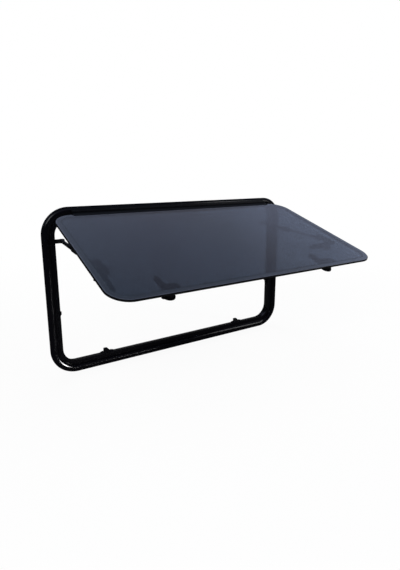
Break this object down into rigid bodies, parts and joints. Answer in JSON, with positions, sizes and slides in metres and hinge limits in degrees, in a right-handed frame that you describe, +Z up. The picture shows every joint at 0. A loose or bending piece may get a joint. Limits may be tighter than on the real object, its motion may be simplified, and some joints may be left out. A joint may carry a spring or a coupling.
{
  "type": "caravan window",
  "caption": "Top-hung caravan window: black moulded frame, tinted double acrylic sash held open on telescopic stays, turning catches and strikers.",
  "frame": {"origin": "on the wall face of the flange, at the middle of the bottom rail", "axes": "+X right along the wall seen from outside, +Y through the wall to the inside, +Z up"},
  "size_m": [1, 0.5489, 0.568],
  "materials": {
    "frame_black": "satin moulded polyurethane",
    "seal_rubber": "matt rubber",
    "smoked_acrylic": "clear polished acrylic, smoke tint",
    "smoked_acrylic_inner": "clear polished acrylic, light smoke tint",
    "rail_black": "black anodised aluminium",
    "tube_black": "black satin tube",
    "rod_steel": "dark anodised rod",
    "fitting_black": "fine-grained black plastic",
    "lever_black": "satin black plastic"
  },
  "bodies": {
    "root": {"outer_frame": "frame_black", "lip_seal": "seal_rubber", "outer_pane": "smoked_acrylic", "inner_pane": "smoked_acrylic_inner", "sash_seal": "seal_rubber", "frame_hinge_rail": "rail_black", "sash_hinge_rail": "rail_black", "left_stay_bracket": "fitting_black", "left_stay_tube": "tube_black", "left_stay_collar": "fitting_black", "left_stay_rod": "rod_steel", "left_stay_socket": "fitting_black", "left_stay_foot": "fitting_black", "right_stay_bracket": "fitting_black", "right_stay_tube": "tube_black", "right_stay_collar": "fitting_black", "right_stay_rod": "rod_steel", "right_stay_socket": "fitting_black", "right_stay_foot": "fitting_black", "left_catch_base": "fitting_black", "left_catch_lever": "lever_black", "right_catch_base": "fitting_black", "right_catch_lever": "lever_black", "lower_left_catch_base": "fitting_black", "lower_left_catch_lever": "lever_black", "lower_right_catch_base": "fitting_black", "lower_right_catch_lever": "lever_black", "catch_caps": "fitting_black", "left_striker": "fitting_black", "right_striker": "fitting_black", "lower_left_striker": "fitting_black", "lower_right_striker": "fitting_black"}
  },
  "joints": []
}
